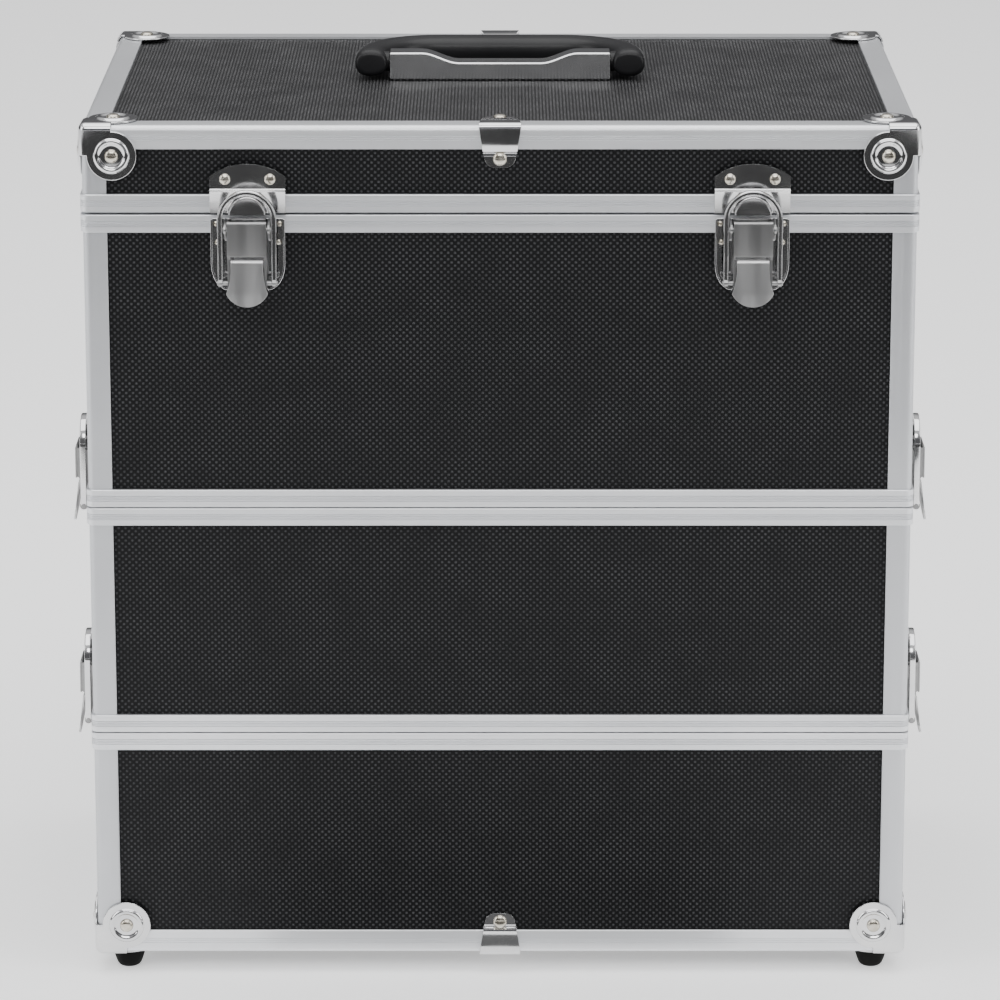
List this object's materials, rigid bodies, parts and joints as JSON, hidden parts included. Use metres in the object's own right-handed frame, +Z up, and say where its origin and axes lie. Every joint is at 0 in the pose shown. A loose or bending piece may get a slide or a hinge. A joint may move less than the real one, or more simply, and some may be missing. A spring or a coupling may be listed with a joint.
{
  "type": "makeup train case",
  "caption": "Stacked hard makeup train case: lift-off tiers under a hinged lid with a folding handle, aluminium edges, dimpled black panels, corner guards and draw latches.",
  "frame": {"origin": "on the ground, under the middle of the whole object's box", "axes": "+Z up, the latched front faces -Y, +X to the right seen from the front"},
  "size_m": [0.405, 0.2645, 0.4085],
  "materials": {
    "aluminium_edge": "satin anodised, ribbed along the seam rims",
    "textured_panel": "black laminate with a fine raised dimple pattern",
    "chromed_steel": "bright chromed pressed steel",
    "grip_plastic": "soft black moulding, fine grain",
    "foot_rubber": "matt black rubber"
  },
  "bodies": {
    "bottom_case": {"bottom_frame": "aluminium_edge", "bottom_shell": "textured_panel", "base_corner_front_left": "chromed_steel", "foot_front_left": "foot_rubber", "base_corner_rear_left": "chromed_steel", "foot_rear_left": "foot_rubber", "base_corner_front_right": "chromed_steel", "foot_front_right": "foot_rubber", "base_corner_rear_right": "chromed_steel", "foot_rear_right": "foot_rubber", "base_clip_front": "chromed_steel", "base_clip_rear": "chromed_steel", "latch_lower_left_base": "chromed_steel", "latch_lower_right_base": "chromed_steel"},
    "middle_case": {"middle_frame": "aluminium_edge", "middle_shell": "textured_panel", "latch_upper_left_base": "chromed_steel", "latch_upper_right_base": "chromed_steel", "latch_lower_left_strike": "chromed_steel", "latch_lower_right_strike": "chromed_steel"},
    "upper_case": {"upper_frame": "aluminium_edge", "upper_shell": "textured_panel", "hinge_left_case_leaf": "chromed_steel", "hinge_left_pin": "chromed_steel", "hinge_right_case_leaf": "chromed_steel", "hinge_right_pin": "chromed_steel", "latch_front_left_base": "chromed_steel", "latch_front_right_base": "chromed_steel", "latch_upper_left_strike": "chromed_steel", "latch_upper_right_strike": "chromed_steel"},
    "lid": {"lid_frame": "aluminium_edge", "lid_shell": "textured_panel", "handle_bracket": "chromed_steel", "handle_pin_left": "chromed_steel", "handle_pin_right": "chromed_steel", "lid_clip_front": "chromed_steel", "lid_clip_rear": "chromed_steel", "hinge_left_lid_leaf": "chromed_steel", "lid_corner_front_left": "chromed_steel", "lid_corner_rear_left": "chromed_steel", "hinge_right_lid_leaf": "chromed_steel", "lid_corner_front_right": "chromed_steel", "lid_corner_rear_right": "chromed_steel", "latch_front_left_strike": "chromed_steel", "latch_front_right_strike": "chromed_steel"},
    "grip": {"handle_grip": "grip_plastic"},
    "front_left_lever": {"latch_front_left_lever": "chromed_steel"},
    "front_left_bail": {"latch_front_left_bail": "chromed_steel"},
    "front_right_lever": {"latch_front_right_lever": "chromed_steel"},
    "front_right_bail": {"latch_front_right_bail": "chromed_steel"},
    "upper_left_lever": {"latch_upper_left_lever": "chromed_steel"},
    "upper_left_bail": {"latch_upper_left_bail": "chromed_steel"},
    "upper_right_lever": {"latch_upper_right_lever": "chromed_steel"},
    "upper_right_bail": {"latch_upper_right_bail": "chromed_steel"},
    "lower_left_lever": {"latch_lower_left_lever": "chromed_steel"},
    "lower_left_bail": {"latch_lower_left_bail": "chromed_steel"},
    "lower_right_lever": {"latch_lower_right_lever": "chromed_steel"},
    "lower_right_bail": {"latch_lower_right_bail": "chromed_steel"}
  },
  "joints": [
    {"name": "middle_case_lift", "type": "slide", "parent": "bottom_case", "child": "middle_case", "axis": [0, 0, 1], "range_m": [0, 0.06]},
    {"name": "upper_case_lift", "type": "slide", "parent": "middle_case", "child": "upper_case", "axis": [0, 0, 1], "range_m": [0, 0.06]},
    {"name": "lid_hinge", "type": "hinge", "parent": "upper_case", "child": "lid", "pos_m": [0, 0.12915, 0.356], "axis": [-1, 0, 0], "range_deg": [0, 100]},
    {"name": "handle_fold", "type": "hinge", "parent": "lid", "child": "grip", "pos_m": [0, 0.00915, 0.4019], "axis": [1, 0, 0], "range_deg": [0, 90]},
    {"name": "front_left_lever_turn", "type": "hinge", "parent": "upper_case", "child": "front_left_lever", "pos_m": [-0.111, -0.12535, 0.351], "axis": [-1, 0, 0], "range_deg": [0, 120]},
    {"name": "front_left_bail_turn", "type": "hinge", "parent": "front_left_lever", "child": "front_left_bail", "pos_m": [-0.111, -0.12545, 0.327], "axis": [-1, 0, 0], "range_deg": [-120, 0]},
    {"name": "front_right_lever_turn", "type": "hinge", "parent": "upper_case", "child": "front_right_lever", "pos_m": [0.111, -0.12535, 0.351], "axis": [-1, 0, 0], "range_deg": [0, 120]},
    {"name": "front_right_bail_turn", "type": "hinge", "parent": "front_right_lever", "child": "front_right_bail", "pos_m": [0.111, -0.12545, 0.327], "axis": [-1, 0, 0], "range_deg": [-120, 0]},
    {"name": "upper_left_lever_turn", "type": "hinge", "parent": "middle_case", "child": "upper_left_lever", "pos_m": [-0.1955, 0.00515, 0.217], "axis": [0, 1, 0], "range_deg": [0, 120]},
    {"name": "upper_left_bail_turn", "type": "hinge", "parent": "upper_left_lever", "child": "upper_left_bail", "pos_m": [-0.1956, 0.00515, 0.193], "axis": [0, 1, 0], "range_deg": [-120, 0]},
    {"name": "upper_right_lever_turn", "type": "hinge", "parent": "middle_case", "child": "upper_right_lever", "pos_m": [0.1955, 0.00515, 0.217], "axis": [0, -1, 0], "range_deg": [0, 120]},
    {"name": "upper_right_bail_turn", "type": "hinge", "parent": "upper_right_lever", "child": "upper_right_bail", "pos_m": [0.1956, 0.00515, 0.193], "axis": [0, -1, 0], "range_deg": [-120, 0]},
    {"name": "lower_left_lever_turn", "type": "hinge", "parent": "bottom_case", "child": "lower_left_lever", "pos_m": [-0.1955, 0.00515, 0.1115], "axis": [0, 1, 0], "range_deg": [0, 120]},
    {"name": "lower_left_bail_turn", "type": "hinge", "parent": "lower_left_lever", "child": "lower_left_bail", "pos_m": [-0.1956, 0.00515, 0.0875], "axis": [0, 1, 0], "range_deg": [-120, 0]},
    {"name": "lower_right_lever_turn", "type": "hinge", "parent": "bottom_case", "child": "lower_right_lever", "pos_m": [0.1955, 0.00515, 0.1115], "axis": [0, -1, 0], "range_deg": [0, 120]},
    {"name": "lower_right_bail_turn", "type": "hinge", "parent": "lower_right_lever", "child": "lower_right_bail", "pos_m": [0.1956, 0.00515, 0.0875], "axis": [0, -1, 0], "range_deg": [-120, 0]}
  ],
  "couplings": [
    {"joint": "front_left_bail_turn", "follows": "front_left_lever_turn", "ratio": -1},
    {"joint": "front_right_bail_turn", "follows": "front_right_lever_turn", "ratio": -1},
    {"joint": "upper_left_bail_turn", "follows": "upper_left_lever_turn", "ratio": -1},
    {"joint": "upper_right_bail_turn", "follows": "upper_right_lever_turn", "ratio": -1},
    {"joint": "lower_left_bail_turn", "follows": "lower_left_lever_turn", "ratio": -1},
    {"joint": "lower_right_bail_turn", "follows": "lower_right_lever_turn", "ratio": -1}
  ]
}
